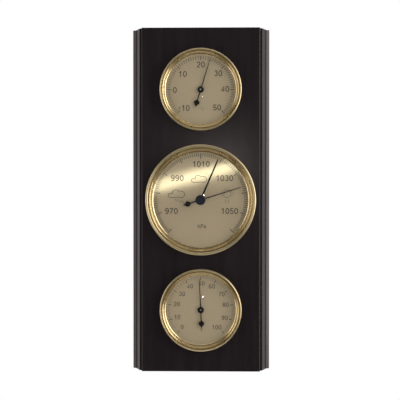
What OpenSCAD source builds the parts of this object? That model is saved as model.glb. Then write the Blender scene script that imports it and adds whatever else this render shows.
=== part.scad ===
// Wall-hung weather station: thermometer, aneroid barometer and hygrometer on a moulded board.
// The wall plane is y = 0 and the dials face -Y. The origin is the entry hole of the hanger.

/* [Board] */
// Height of the board
board_h = 313; // [310:1:380]
// Width of the board over its side mouldings
board_w = 126; // [122:1:170]
// Thickness of the board
board_t = 22; // [22:0.5:26]
// Width of the moulding along each long side
moulding_w = 10; // [8.5:0.5:12]
// Depth of the moulding's first step below the front face
step_drop = 4.8; // [3:0.2:6]
// Depth of the moulding's outer ledge below the front face
ledge_drop = 17; // [15:0.5:18]
// Distance between the centres of neighbouring instruments
pitch = 100; // [98:0.5:101]

/* [Hanger] */
// Height of the hanger plate
hanger_h = 18; // [17:0.5:20]
// Width of the hanger plate
hanger_w = 42; // [38:1:50]
// Thickness of the hanger plate
hanger_t = 1.2; // [1:0.1:2]
// Diameter of the entry hole for the screw head
entry_d = 9; // [8:0.5:10]
// Width of the slot for the screw neck
neck_w = 4.6; // [4.4:0.1:5]
// Rise from the entry hole to the top of the slot's run
neck_rise = 6; // [5:0.5:7]
// Distance from the top of the board down to the entry hole
hanger_drop = 14.5; // [14:0.5:16]
// Depth of the pocket behind the hanger plate
pocket_d = 7; // [6:0.5:10]

/* [Instruments] */
// Diameter of the barometer over its bezel
baro_d = 100; // [98:0.5:102]
// Diameter of the thermometer and hygrometer over their bezels
small_d = 74; // [70:0.5:76]
// Width of the barometer's bezel, from its rim to the glass
baro_lip = 5; // [4.5:0.1:5.5]
// Width of the small bezels, from the rim to the glass
small_lip = 4.2; // [3.8:0.1:4.6]
// Height of the bezels above the board
bezel_h = 8; // [7.6:0.2:10]
// Width of the bead round the barometer's bezel
baro_bead = 2.3; // [1.8:0.1:2.6]
// Width of the bead round the small bezels
small_bead = 1.5; // [1.2:0.1:1.8]
// Thickness of the drawn sheet of the cases
sheet_t = 0.8; // [0.6:0.1:1]
// Thickness of the dial plates
dial_t = 0.6; // [0.4:0.1:1]
// Height of the ring between dial and glass
ring_h = 2.8; // [2.6:0.1:3.4]
// Thickness of the glasses
glass_t = 1.2; // [1:0.1:1.5]
// Radius of the barometer's domed glass
baro_dome_r = 150; // [140:5:180]
// Radius of the small domed glasses
small_dome_r = 100; // [90:5:120]
// Thickness of the rubber rings that hold the cases in the board
fit_ring_t = 1.6; // [1.2:0.1:1.8]
// Gap between the wall and the backs of the cases
back_gap = 1.5; // [1.3:0.1:2]

/* [Readings] */
// Temperature shown, in degrees Celsius
temperature = 23.8; // [-10:0.1:50]
// Air pressure shown, in hectopascals
pressure = 1036.9; // [960:0.1:1060]
// Air pressure that the set hand marks, in hectopascals
set_pressure = 1018.6; // [960:0.1:1060]
// Relative humidity shown, in per cent
humidity = 49; // [0:1:100]

/* [Hands] */
// Length of the small hands from arbor to tip
small_hand_l = 28.2; // [24:0.1:29]
// Length of the barometer's hand from arbor to tip
baro_hand_l = 38.2; // [30:0.1:40]
// Length of the set hand from spindle to tip
set_hand_l = 39.5; // [30:0.1:40]
// Length of the hands' tails
tail_l = 16.4; // [13:0.1:18]
// Width of the spade on the tails
spade_w = 5; // [4:0.1:5.6]
// Thickness of the hands' sheet
hand_t = 0.4; // [0.3:0.05:0.5]
// Radius of the small hands' hubs
hub_r = 2.9; // [2.4:0.1:3.4]
// Radius of the set knob
knob_r = 4.6; // [4:0.1:6]
// Height of the set knob
knob_h = 4.4; // [3:0.1:6]

/* [Coil movements] */
// Radius of all arbors
arbor_r = 0.75; // [0.7:0.05:0.9]
// Outer radius of the bimetal coil
coil_r = 14; // [11:0.5:15]
// Turns of the bimetal coil
thermo_turns = 7; // [5:1:8]
// Turns of the hygroscopic coil
hygro_turns = 4; // [3:1:5]
// Width of the bimetal strip
thermo_strip_w = 4; // [3:0.5:6]
// Width of the hygroscopic strip
hygro_strip_w = 6; // [4:0.5:7]
// Half the distance between the pillars of a small movement
pillar_x = 22; // [20:0.5:24]
// Radius of the air holes in the cases' backs
vent_r = 1.8; // [1:0.1:2.4]

/* [Barometer movement] */
// Radius of the aneroid capsule
capsule_r = 21; // [16:0.5:22]
// Thickness of the capsule between its diaphragms
capsule_h = 4; // [3:0.1:4.2]
// Teeth on the pinion
pinion_teeth = 10; // [10:1:11]
// Teeth that a full ring of the sector would have
sector_teeth = 100; // [96:1:104]
// Module of the teeth
tooth_module = 0.4; // [0.38:0.01:0.42]
// Length of the sector's tail from its shaft to the rocker's rod
sector_tail = 4; // [3.6:0.1:4.6]
// Length of the rocker's short arm
short_arm = 1.05; // [0.9:0.05:1.2]
// Thickness of the movement's plates
plate_t = 1; // [0.8:0.1:1.2]

/* [Hidden] */
$fn = 64;

// Colours
wood = [0.13, 0.10, 0.10];
brass = [0.80, 0.66, 0.36];
champagne = [0.72, 0.66, 0.52];
steel = [0.62, 0.63, 0.65];
black = [0.05, 0.05, 0.06];
rubber = [0.10, 0.10, 0.10];
clear = [0.85, 0.90, 0.92, 0.35];
bimetal = [0.66, 0.55, 0.42];

// Clearances
running = 0.05;   // radial play of a shaft in its bore
easing = 0.05;    // gap between pieces that are pushed together
free_gap = 0.3;   // gap between pieces that move past each other
bite = 0.5;       // how far a cutting shape runs past a face

// Heights above the wall, shared by the three instruments
face_z = board_t;                       // front face of the board
back_z = back_gap;                      // outside of the cases' backs
floor_z = back_z + sheet_t;             // inside of the cases' backs
dial_z = face_z + sheet_t;              // underside of the dials, on the cases' flanges
print_z = dial_z + dial_t;              // front of the dials
glass_z = print_z + ring_h;             // underside of the glasses' rims
seat_z = glass_z + glass_t;             // front of the glasses' rims
crest_z = face_z + bezel_h;             // top of the bezels
hand_z = print_z + 1.4;                 // underside of the hands
hub_h = 1.4;                            // height of the hands' hubs

// Radii that follow from a bezel's radius and lip
glass_seat = 1;                         // width of the glass's rim under the lip
foot_in = 1.1;                          // how far the ring's foot stands inside the opening
case_in = 1.6;                          // how far the case's bore lies inside the opening
flange_gap = 1.1;                       // distance from bezel rim to flange edge
skirt_t = 1;                            // thickness of the bezel's skirt
function open_r(d, lip) = d / 2 - lip;
function cup_r(d, lip) = open_r(d, lip) - case_in + sheet_t;
function bore_r(d, lip) = cup_r(d, lip) + fit_ring_t + 2 * easing;
function dial_r(d, lip) = open_r(d, lip) + 0.2;

// Height of a dome's centre of curvature
dome_inset = 0.3;                       // gap from the bezel's lip to the foot of the dome
function dome_z(d, lip, dome_r) = seat_z - sqrt(pow(dome_r, 2) - pow(open_r(d, lip) - dome_inset, 2));

// Scales, in degrees clockwise from the top of the dial
function temperature_angle(t) = (t - 20) * 4.5;
function pressure_angle(p) = (p - 1010) * 2.7;
function humidity_angle(h) = (h - 50) * 2.7;

// Heights of the instruments above the origin
mid_z = hanger_drop - board_h / 2;
thermo_z = mid_z + pitch;
hygro_z = mid_z - pitch;

// Draws on the wall plane: x to the right, y up and z towards the viewer
module facing(height) {
    translate([0, 0, height]) rotate([90, 0, 0]) children();
}

module tube(outer, inner, low, high) {
    difference() {
        translate([0, 0, low]) cylinder(r = outer, h = high - low);
        translate([0, 0, low - bite]) cylinder(r = inner, h = high - low + 2 * bite);
    }
}

module disc(r, low, high) {
    translate([0, 0, low]) cylinder(r = r, h = high - low);
}

function arc(cx, cy, rx, ry, from, to, steps) =
    [for (i = [0:steps]) let (a = from + (to - from) * i / steps) [cx + rx * cos(a), cy + ry * sin(a)]];

function mirrored(points) = [for (i = [len(points) - 1:-1:0]) [-points[i][0], points[i][1]]];

// Board

edge_round = 0.8;                       // rounding of the board's front edges
step_w = 1.9;                           // width of the flat on the first step
step_riser = 1.1;                       // run of the riser from the face to the first step
quirk_w = 0.3;                          // foot of the small drop beside the step
quirk_drop = 1;                         // small drop from the first step to the slope
ledge_w = 2.7;                          // width of the outer ledge
ledge_lean = 29;                        // lean of the ledge out of the board's plane
ledge_round = 0.6;                      // radius of the ledge's outer edge

// One side of the board's section, from the back edge round to the front face: x outward, y = -depth
function board_side() = let (
    out = board_w / 2,
    face = out - moulding_w,
    step_in = face + step_riser,
    step_out = step_in + step_w,
    front = -board_t,
    slope_top = front + step_drop + quirk_drop,
    ledge = front + ledge_drop,
    round_end = 90 - ledge_lean,
    ledge_rise = (ledge_w - ledge_round * (1 - cos(round_end))) * tan(ledge_lean),
    ledge_top = ledge + ledge_round * (1 - sin(round_end)) - ledge_rise
) concat(
    [[out, 0]],
    arc(out - ledge_round, ledge + ledge_round, ledge_round, ledge_round, 0, -round_end, 3),
    [[out - ledge_w, ledge_top], [step_out + quirk_w, slope_top]],
    [[step_out, slope_top], [step_out, front + step_drop + 0.5]],
    arc(step_out - 0.5, front + step_drop + 0.5, 0.5, 0.5, 0, -90, 3),
    [[step_in, front + step_drop]],
    [[step_in - 0.2, front + edge_round]],
    arc(step_in - 0.2 - edge_round, front + edge_round, edge_round, edge_round, 0, -90, 4)
);

module board_blank() {
    side = board_side();
    translate([0, 0, mid_z - board_h / 2])
        linear_extrude(board_h) polygon(concat(side, mirrored(side)));
}

pocket_margin = 0.6;                    // room round a screw head in the pocket
module keyhole(low, high, extra) {
    disc(entry_d / 2 + extra, low, high);
    translate([-neck_w / 2 - extra, 0, low]) cube([neck_w + 2 * extra, neck_rise, high - low]);
    translate([0, neck_rise, 0]) disc(neck_w / 2 + extra, low, high);
}

plate_low = -(hanger_h - neck_rise) / 2;    // lower edge of the hanger plate, from the entry hole

module screw_places(x, y) {
    for (side = [-1, 1]) translate([side * x, y, 0]) children();
}

hanger_screw_r = 1.4;
hanger_screw_l = 12;
hanger_head_r = 2.7;
hanger_head_h = hanger_t * 0.8;         // depth of the countersink
hanger_screw_edge = 5.5;                // from a screw to the end of the plate
hanger_screw_y = neck_rise / 2;
hanger_wood = 3;                        // wood left between a screw and the thermometer's bore
bore_reach = bore_r(small_d, small_lip) + hanger_screw_r + hanger_wood;
beside_bore = sqrt(max(0, pow(bore_reach, 2) - pow(hanger_screw_y - thermo_z, 2)));
hanger_screw_x = max(hanger_w / 2 - hanger_screw_edge, beside_bore);
plate_half_w = hanger_screw_x + hanger_screw_edge;

module backboard() {
    color(wood) difference() {
        board_blank();
        facing(thermo_z) disc(bore_r(small_d, small_lip), -bite, board_t + bite);
        facing(mid_z) disc(bore_r(baro_d, baro_lip), -bite, board_t + bite);
        facing(hygro_z) disc(bore_r(small_d, small_lip), -bite, board_t + bite);
        facing(0) {
            translate([-plate_half_w - easing, plate_low - easing, -bite])
                cube([2 * plate_half_w + 2 * easing, hanger_h + 2 * easing, hanger_t + easing + bite]);
            translate([-entry_d / 2 - pocket_margin, -entry_d / 2 - pocket_margin, 0])
                cube([entry_d + 2 * pocket_margin, entry_d + neck_rise + 2 * pocket_margin, pocket_d]);
            screw_places(hanger_screw_x, hanger_screw_y)
                disc(hanger_screw_r + easing, 0, hanger_t + hanger_screw_l + easing);
        }
    }
}

module hanger_plate() {
    color(steel) facing(0) difference() {
        translate([-plate_half_w, plate_low, 0]) cube([2 * plate_half_w, hanger_h, hanger_t]);
        keyhole(-bite, hanger_t + bite, 0);
        screw_places(hanger_screw_x, hanger_screw_y) {
            disc(hanger_screw_r + easing, -bite, hanger_t + bite);
            translate([0, 0, -0.01])
                cylinder(r1 = hanger_head_r, r2 = hanger_screw_r + easing, h = hanger_head_h);
        }
    }
}

module cross_slot(r, depth) {
    for (turn = [0, 90]) rotate(turn) translate([-r * 0.75, -0.35, -bite]) cube([r * 1.5, 0.7, depth + bite]);
}

module hanger_screws() {
    color(brass) facing(0) screw_places(hanger_screw_x, hanger_screw_y) difference() {
        union() {
            cylinder(r1 = hanger_head_r - easing, r2 = hanger_screw_r, h = hanger_head_h);
            disc(hanger_screw_r, hanger_head_h - 0.1, hanger_t + hanger_screw_l);
        }
        cross_slot(hanger_head_r, 0.6);
    }
}

// Cases, bezels, dials and glasses, the same for each instrument

module fit_ring(d, lip) {
    r = cup_r(d, lip) + easing;
    ribs = 3;
    gap = (face_z - floor_z - 4) / ribs;
    color(rubber) difference() {
        tube(r + fit_ring_t, r, floor_z + 1, face_z - 1);
        for (i = [0:ribs - 1]) translate([0, 0, floor_z + 2.6 + i * gap])
            tube(r + fit_ring_t + bite, r + fit_ring_t - 0.4, 0, gap * 0.45);
    }
}

module case_cup(d, lip) {
    r = cup_r(d, lip);
    color(brass) {
        difference() {
            union() {
                disc(r, back_z, face_z + sheet_t);
                disc(d / 2 - flange_gap, face_z, face_z + sheet_t);
            }
            disc(r - sheet_t, floor_z, face_z + sheet_t + bite);
            children();
        }
    }
}

// Section of a bezel: r outward, z towards the viewer
groove_w = 0.4;
groove_h = 0.6;
bead_h = 2.6;
lip_edge = 0.4;                         // upright edge of the lip over the glass
function bezel_section(d, lip, bead) = let (
    rim = d / 2,
    open = open_r(d, lip),
    bead_x = rim - bead / 2,
    bead_y = crest_z - bead_h,
    inner_top = crest_z - 0.5,
    groove = inner_top - groove_h,
    inner_x = rim - bead - groove_w,
    bead_end = 180 - asin((groove - bead_y) / bead_h)
) concat(
    [[rim - skirt_t, face_z], [rim - 0.3, face_z], [rim, face_z + 0.4]],
    arc(bead_x, bead_y, bead / 2, bead_h, 0, bead_end, 16),
    [[inner_x, groove]],
    arc(inner_x - 0.3, inner_top - 0.3, 0.3, 0.3, 0, 90, 3),
    arc(inner_x - 0.3, seat_z + lip_edge, inner_x - 0.3 - open, inner_top - seat_z - lip_edge, 95, 180, 10),
    [
        [open, seat_z],
        [open + glass_seat + 0.1, seat_z],
        [open + glass_seat + 0.1, dial_z],
        [rim - skirt_t, dial_z]
    ]
);

module bezel(d, lip, bead) {
    color(brass) rotate_extrude($fn = 128) polygon(bezel_section(d, lip, bead));
}

module dial_ring(d, lip) {
    open = open_r(d, lip);
    color(brass) rotate_extrude($fn = 128) polygon([
        [open - foot_in, print_z],
        [dial_r(d, lip), print_z],
        [open + glass_seat - 0.1, print_z + 0.8],
        [open + glass_seat - 0.1, glass_z],
        [open, glass_z]
    ]);
}

module dial(d, lip, hole_r) {
    color(champagne) tube(dial_r(d, lip), hole_r, dial_z, print_z);
}

module dome(d, lip, dome_r) {
    centre = dome_z(d, lip, dome_r);
    color(clear) {
        tube(open_r(d, lip) + glass_seat, open_r(d, lip) - dome_inset - 0.2, glass_z, seat_z);
        intersection() {
            translate([0, 0, centre]) difference() {
                sphere(r = dome_r, $fn = 128);
                sphere(r = dome_r - glass_t, $fn = 128);
            }
            disc(open_r(d, lip) - dome_inset, glass_z, seat_z + 12);
        }
    }
}

// Hands, drawn pointing up, with z = 0 at their underside

tip_w = 0.5;
root_w = 1;
spade_tip_w = 0.7;
spade_tip_l = 0.9;
spade_half_h = 2.3;                     // half height of the spade's round part
spade_mid = 4;                          // from the tip of the tail to the middle of the spade
spade_neck = 2.7;                       // from there to where the shank begins

// Outline of the tail: a narrow shank, then a spade with round shoulders and a narrow tip
function spade_outline(tail) = let (shank = root_w / 2, mid = spade_mid - tail, tip = spade_tip_w / 2) concat(
    [[-shank, 0], [-shank, mid + spade_neck]],
    arc(0, mid, spade_w / 2, spade_half_h, 125, 200, 8),
    [[-tip, spade_tip_l - tail], [-tip, -tail], [tip, -tail], [tip, spade_tip_l - tail]],
    arc(0, mid, spade_w / 2, spade_half_h, -20, 55, 8),
    [[shank, mid + spade_neck], [shank, 0]]
);

module tailed_hand(length, tail, hub) {
    color(black) difference() {
        union() {
            linear_extrude(hand_t) polygon([
                [-root_w / 2, 0], [root_w / 2, 0], [tip_w / 2, length], [-tip_w / 2, length]
            ]);
            linear_extrude(hand_t) polygon(spade_outline(tail));
            disc(hub, 0, hand_t);
            disc(hub * 0.62, -0.5, hub_h - 0.5);
        }
        disc(arbor_r + 0.01, -1, hub_h + bite);
    }
}

hand_gap = 0.1;                         // how far the arbor's end stands back from the hub's front
arbor_end = hand_z + hub_h - 0.5 - hand_gap;

// Coil movements of the thermometer and the hygrometer

neck_r = 4;                             // adjuster's neck in the case's back
adjuster_head_r = 5;
adjuster_head_h = 0.8;
arm_washer_r = 6;
arm_t = 1;
adjuster_hub_z = floor_z + 3.2;         // front of the adjuster's hub
collet_r = 1.9;
strip_t = 0.35;
coil_z = adjuster_hub_z + 0.6;          // rear edge of the coil
post_r = 0.8;
bridge_z = dial_z - 5.6;                // underside of the front bridge
bridge_t = 1.2;
bridge_half_w = 4.5;
bearing_r = arbor_r + running;
pillar_r = 2;
screw_r = 1;
screw_head_r = 1.9;
screw_head_h = 1.1;

function spiral(inner, outer, turns, offset, steps) =
    [for (i = [0:steps]) let (a = 360 * turns * i / steps, r = inner + (outer - inner) * i / steps + offset)
        [r * cos(a), r * sin(a)]];

function reversed(points) = [for (i = [len(points) - 1:-1:0]) points[i]];

module strip_coil(inner, outer, turns, thick, width) {
    steps = turns * 24;
    linear_extrude(width) polygon(concat(
        spiral(inner, outer, turns, -thick / 2, steps),
        reversed(spiral(inner, outer, turns, thick / 2, steps))
    ));
}

module coil_case(d, lip) {
    case_cup(d, lip) {
        disc(neck_r + running, back_z - bite, floor_z + bite);
        for (i = [0:5]) rotate(30 + 60 * i) translate([coil_r + 3.4, 0, 0])
            disc(vent_r, back_z - bite, floor_z + bite);
    }
}

module coil_arbor(strip_w) {
    color(steel) {
        disc(arbor_r, adjuster_hub_z - 2, arbor_end);
        disc(collet_r, coil_z, coil_z + strip_w);
    }
}

post_x = coil_r + strip_t / 2 + easing + post_r;

module coil(strip_w, turns) {
    color(bimetal) translate([0, 0, coil_z])
        strip_coil(collet_r + strip_t / 2 + easing, coil_r, turns, strip_t, strip_w);
}

adjuster_hub_r = 2.2;
module adjuster() {
    color(brass) difference() {
        union() {
            disc(adjuster_head_r, back_z - adjuster_head_h, back_z - easing);
            disc(neck_r, back_z - adjuster_head_h, floor_z + easing);
            disc(adjuster_hub_r, floor_z, adjuster_hub_z);
        }
        disc(bearing_r, adjuster_hub_z - 2.2, adjuster_hub_z + bite);
        translate([-adjuster_head_r, -0.5, back_z - adjuster_head_h - bite])
            cube([2 * adjuster_head_r, 1, 0.6 + bite]);
    }
}

// Washer riveted on the adjuster's hub, with the arm and post that hold the coil's outer end
module coil_arm(strip_w) {
    low = floor_z + easing;
    color(brass) difference() {
        union() {
            disc(arm_washer_r, low, low + arm_t);
            translate([0, -1.5, low]) cube([post_x, 3, arm_t]);
            translate([post_x, 0, 0]) disc(1.5, low, low + arm_t);
            translate([post_x, 0, 0]) disc(post_r, low, coil_z + strip_w + 0.6);
        }
        disc(adjuster_hub_r + 0.01, low - bite, low + arm_t + bite);
    }
}

module small_bridge() {
    color(steel) translate([0, 0, bridge_z]) difference() {
        linear_extrude(bridge_t) union() {
            translate([-pillar_x, -bridge_half_w]) square([2 * pillar_x, 2 * bridge_half_w]);
            for (side = [-1, 1]) translate([side * pillar_x, 0]) circle(r = bridge_half_w);
        }
        disc(bearing_r, -bite, bridge_t + bite);
        screw_places(pillar_x, 0) disc(screw_r + easing, -bite, bridge_t + bite);
    }
}

screw_l = 5;
module small_pillars() {
    color(brass) screw_places(pillar_x, 0) difference() {
        disc(pillar_r, floor_z, bridge_z);
        disc(screw_r + easing, bridge_z - screw_l, bridge_z + bite);
    }
}

// A slotted screw with its head on the plane z = seat
module machine_screw(seat, length) {
    difference() {
        union() {
            disc(screw_head_r, seat, seat + screw_head_h);
            disc(screw_r, seat - length, seat + 0.1);
        }
        translate([-screw_head_r, -0.25, seat + screw_head_h - 0.5]) cube([2 * screw_head_r, 0.5, 1]);
    }
}

module small_bridge_screws() {
    color(steel) for (height = [thermo_z, hygro_z])
        facing(height) screw_places(pillar_x, 0) machine_screw(bridge_z + bridge_t, bridge_t + screw_l - 0.4);
}

// Barometer movement, from the wall to the dial

base_z = floor_z;
base_r = 37;
boss_r = 3.5;                           // threaded boss of the adjusting screw
boss_z = base_z + plate_t + 1.6;
carrier_z = boss_z + free_gap;
carrier_t = 0.8;
carrier_w = 11;
carrier_foot_x = 30;
capsule_z = carrier_z + carrier_t;
capsule_boss_r = 4;
capsule_boss_h = 0.4;
capsule_top = capsule_z + capsule_boss_h + capsule_h;
stem_h = 1.4;
stem_r = 0.9;
rocker_r = 0.8;
finger_h = 0.9;
finger_low = 0.7;                       // underside of the finger below the rocker's axis
stem_gap = 0.12;                        // play between the stem's round end and the finger
stem_top = capsule_top + stem_h;
rocker_z = stem_top + stem_gap + finger_low;    // axis of the rocker's shaft
lug_z = capsule_top + 0.6;              // lower end of the lugs
plate_z = rocker_z + 1.8;               // underside of the movement plate
sector_z = plate_z + plate_t + 0.8;
sector_t = 1;
hairspring_z = sector_z + sector_t + 0.7;
hairspring_r = 6.6;
cock_z = hairspring_z + 1.3;            // underside of the bridge
cock_w = 8;

// Sector and pinion
pinion_r = pinion_teeth * tooth_module / 2;
sector_r = sector_teeth * tooth_module / 2;
centre_distance = pinion_r + sector_r;
shaft_y = short_arm;                    // rocker shaft and sector shaft lie on this height
shaft_x = -sqrt(pow(centre_distance, 2) - pow(shaft_y, 2));
rod_x = shaft_x - sector_tail;
rod_r = 0.5;
gear_ratio = pinion_teeth / sector_teeth;
lean = atan2(shaft_y, -shaft_x);         // slope of the line from the sector's shaft to the pinion
rod_reach = sector_z + sector_t / 2 - rocker_z;
half_swing = 135 * gear_ratio;          // turn of the sector for half the scale
rocker_swing = atan(sector_tail * tan(half_swing) / rod_reach);
rocker_ratio = rocker_swing / half_swing;

// Where the train stands at the reading shown
hand_turn = pressure_angle(pressure);
sector_turn = hand_turn * gear_ratio;
rocker_turn = sector_turn * rocker_ratio;
stem_shift = -short_arm * rocker_turn * PI / 180;
lug_t = 1.5;
lug_w = 5;
lug_in_x = 8;
lug_out_x = rod_x - 4;
pillar_at = [22, 24];
bridge_in_x = 9;
bridge_out_x = lug_out_x - 3.2;

function involute_turn(base, r) = r <= base ? 0 : let (a = acos(base / r)) tan(a) * 180 / PI - a;

// One tooth on a gear of pitch radius pr, pointing along +x turned by at: root, flanks and tip
function tooth(pr, at, teeth, addendum, dedendum, play) = let (
    base = pr * cos(20),
    half = 90 / teeth - play / 2 / pr * 180 / PI + involute_turn(base, pr),
    low = pr - dedendum,
    high = pr + addendum,
    steps = 6,
    start = max(low, base),
    flank = [for (i = [0:steps]) start + (high - start) * i / steps],
    radii = concat(low < base ? [low] : [], flank)
) concat(
    [for (r = radii) let (a = at - half + involute_turn(base, r)) [r * cos(a), r * sin(a)]],
    [for (r = reversed(radii)) let (a = at + half - involute_turn(base, r)) [r * cos(a), r * sin(a)]]
);

tooth_play = 0.08;

// Tooth heights in modules: above and below the pitch circle
pinion_tooth = [1, 1.15];
sector_tooth = [0.8, 1.3];

module pinion_profile() {
    step = 360 / pinion_teeth;
    high = pinion_tooth[0] * tooth_module;
    low = pinion_tooth[1] * tooth_module;
    polygon([for (i = [0:pinion_teeth - 1]) each
        tooth(pinion_r, (i + 0.5) * step, pinion_teeth, high, low, tooth_play)]);
}

sector_side_teeth = 6;                  // teeth on each side of the middle one

module sector_profile() {
    step = 360 / sector_teeth;
    high = sector_tooth[0] * tooth_module;
    low = sector_tooth[1] * tooth_module;
    root = sector_r - low;
    edge = (sector_side_teeth + 0.5) * step;
    difference() {
        union() {
            polygon(concat(
                [[0, 0]],
                [for (i = [-sector_side_teeth:sector_side_teeth]) each
                    tooth(sector_r, i * step, sector_teeth, high, low, tooth_play)]
            ));
            circle(r = 2.4);
            rotate(lean) translate([-sector_tail - 1.4, -1.7]) square([sector_tail + 1.4, 3.4]);
        }
        polygon(concat(
            arc(0, 0, root - 2, root - 2, -edge + 8, edge - 8, 8),
            arc(0, 0, 6, 6, edge - 15, -edge + 15, 4)
        ));
        rotate(lean) translate([-sector_tail - 1.5, -rod_r - 0.25]) square([3, 2 * rod_r + 0.5]);
    }
}

// Turns a shape drawn with its middle tooth along +x so that the tooth faces the pinion
module at_sector_shaft() {
    translate([shaft_x, shaft_y, 0]) rotate(sector_turn - lean) children();
}

module barometer_base_plate() {
    color(brass) difference() {
        union() {
            disc(base_r, base_z, base_z + plate_t);
            disc(boss_r, base_z, boss_z);
            translate([-carrier_foot_x - 4, -carrier_w / 2, base_z]) cube([9, carrier_w, carrier_z - base_z]);
        }
        disc(1.75, base_z - bite, boss_z + bite);
        base_screw_places() disc(screw_r + easing, base_z - bite, base_z + plate_t + bite);
        carrier_screw_places() disc(screw_r + easing, base_z + 0.4, carrier_z + bite);
    }
}

module base_screw_places() {
    for (i = [0:2]) rotate(90 + 120 * i) translate([base_r - 5, 0, 0]) children();
}

module carrier_screw_places() {
    for (side = [-1, 1]) translate([-carrier_foot_x + 0.5, side * 3, 0]) children();
}

module barometer_base_screws() {
    color(steel) base_screw_places() difference() {
        union() {
            disc(screw_head_r, back_z - 0.9, back_z);
            disc(screw_r, back_z - 0.1, base_z + plate_t);
        }
        translate([-screw_head_r, -0.25, back_z - 1.4]) cube([2 * screw_head_r, 0.5, 1]);
    }
}

module barometer_carrier() {
    color(steel) difference() {
        translate([-carrier_foot_x - 4, -carrier_w / 2, carrier_z])
            cube([carrier_foot_x + 4 + capsule_boss_r + 3, carrier_w, carrier_t]);
        carrier_screw_places() disc(screw_r + easing, carrier_z - bite, carrier_z + carrier_t + bite);
    }
}

module barometer_carrier_screws() {
    color(steel) carrier_screw_places()
        machine_screw(carrier_z + carrier_t, carrier_t + carrier_z - base_z - 0.6);
}

// Two corrugated diaphragms soldered at their rims
module barometer_capsule() {
    waves = 5;
    low = capsule_z + capsule_boss_h;
    flat_r = capsule_boss_r + 0.5;
    ripple = 0.35;
    steps = waves * 8;
    span = capsule_r - 1 - flat_r;
    top = [for (i = [0:steps]) let (r = flat_r + span * i / steps)
        [r, capsule_h + stem_shift * (1 - i / steps) - ripple * (1 - cos(360 * waves * i / steps))]];
    bottom = [for (i = [steps:-1:0]) let (r = flat_r + span * i / steps)
        [r, ripple * (1 - cos(360 * waves * i / steps))]];
    color(steel) translate([0, 0, low]) {
        rotate_extrude() polygon(concat(
            [[0, 0], [0, capsule_h + stem_shift]], top,
            [[capsule_r - 0.6, capsule_h * 0.62], [capsule_r, capsule_h * 0.58],
             [capsule_r, capsule_h * 0.42], [capsule_r - 0.6, capsule_h * 0.38]],
            bottom
        ));
        disc(capsule_boss_r, -capsule_boss_h, 0);
    }
}

module barometer_capsule_stem() {
    color(brass) translate([0, 0, stem_shift]) {
        disc(2.4, capsule_top, capsule_top + 0.4);
        disc(stem_r, capsule_top, stem_top - stem_r);
        intersection() {
            translate([0, 0, stem_top - stem_r]) sphere(r = stem_r);
            disc(stem_r + bite, stem_top - stem_r, stem_top + bite);
        }
    }
}

module barometer_adjusting_screw() {
    color(steel) difference() {
        union() {
            disc(2.6, back_z - 0.9, base_z - easing);
            disc(1.7, back_z, boss_z + free_gap / 2);
        }
        translate([-2.6, -0.4, back_z - 1.4]) cube([5.2, 0.8, 1.1]);
    }
}

module at_pillars() {
    for (x = [-1, 1], y = [-1, 1]) translate([x * pillar_at[0], y * pillar_at[1], 0]) children();
}

module barometer_pillars() {
    color(brass) at_pillars() difference() {
        disc(pillar_r, base_z + plate_t, plate_z);
        disc(screw_r + easing, plate_z - screw_l, plate_z + bite);
    }
}

module barometer_movement_plate() {
    bar_w = 9;
    color(brass) difference() {
        union() {
            translate([0, 0, plate_z]) linear_extrude(plate_t) {
                for (y = [-1, 1]) translate([-pillar_at[0], y * pillar_at[1] - bar_w / 2])
                    square([2 * pillar_at[0], bar_w]);
                for (x = [-1, 1], y = [-1, 1]) translate([x * pillar_at[0], y * pillar_at[1]])
                    circle(r = bar_w / 2);
                translate([-6, -pillar_at[1]]) square([bridge_in_x + 10, 2 * pillar_at[1]]);
                translate([bridge_out_x - 3, shaft_y - bar_w / 2 - 0.5])
                    square([bridge_in_x + 4 - bridge_out_x, bar_w + 1]);
            }
            for (x = [lug_in_x, lug_out_x]) translate([x - lug_t / 2, shaft_y - lug_w / 2, lug_z])
                cube([lug_t, lug_w, plate_z - lug_z + 0.1]);
        }
        translate([0, shaft_y, rocker_z]) rotate([0, -90, 0]) translate([0, 0, -lug_in_x - lug_t])
            cylinder(r = rocker_r + running, h = lug_in_x - lug_out_x + 2 * lug_t);
        disc(bearing_r, plate_z - bite, plate_z + plate_t + bite);
        translate([shaft_x, shaft_y, 0]) disc(bearing_r, plate_z - bite, plate_z + plate_t + bite);
        translate([rod_x - rod_r - 0.4, shaft_y - 2, plate_z - bite])
            cube([2 * rod_r + 0.8, 4, plate_t + 2 * bite]);
        at_pillars() disc(screw_r + easing, plate_z - bite, plate_z + plate_t + bite);
        at_bridge_pillars() disc(screw_r + easing, plate_z - bite, plate_z + plate_t + bite);
    }
}

module at_bridge_pillars() {
    for (x = [bridge_in_x, bridge_out_x]) translate([x, shaft_y, 0]) children();
}

module barometer_plate_screws() {
    color(steel) at_pillars() machine_screw(plate_z + plate_t, plate_t + screw_l - 0.4);
}

module barometer_bridge_pillars() {
    color(brass) at_bridge_pillars() difference() {
        disc(pillar_r, plate_z + plate_t, cock_z);
        disc(screw_r + easing, plate_z + plate_t - bite, cock_z + bite);
    }
}

stud_x = hairspring_r + 0.1 + easing + 0.5;

module barometer_bridge() {
    color(brass) difference() {
        union() {
            translate([0, 0, cock_z]) linear_extrude(plate_t) {
                translate([bridge_out_x, shaft_y - cock_w / 2]) square([bridge_in_x - bridge_out_x, cock_w]);
                for (x = [bridge_in_x, bridge_out_x]) translate([x, shaft_y]) circle(r = cock_w / 2);
            }
            rotate(-14) translate([stud_x, 0, 0]) disc(0.5, hairspring_z - 0.2, cock_z + 0.1);
        }
        disc(bearing_r, cock_z - bite, cock_z + plate_t + bite);
        translate([shaft_x, shaft_y, 0]) disc(bearing_r, cock_z - bite, cock_z + plate_t + bite);
        at_bridge_pillars() disc(screw_r + easing, cock_z - bite, cock_z + plate_t + bite);
    }
}

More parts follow.
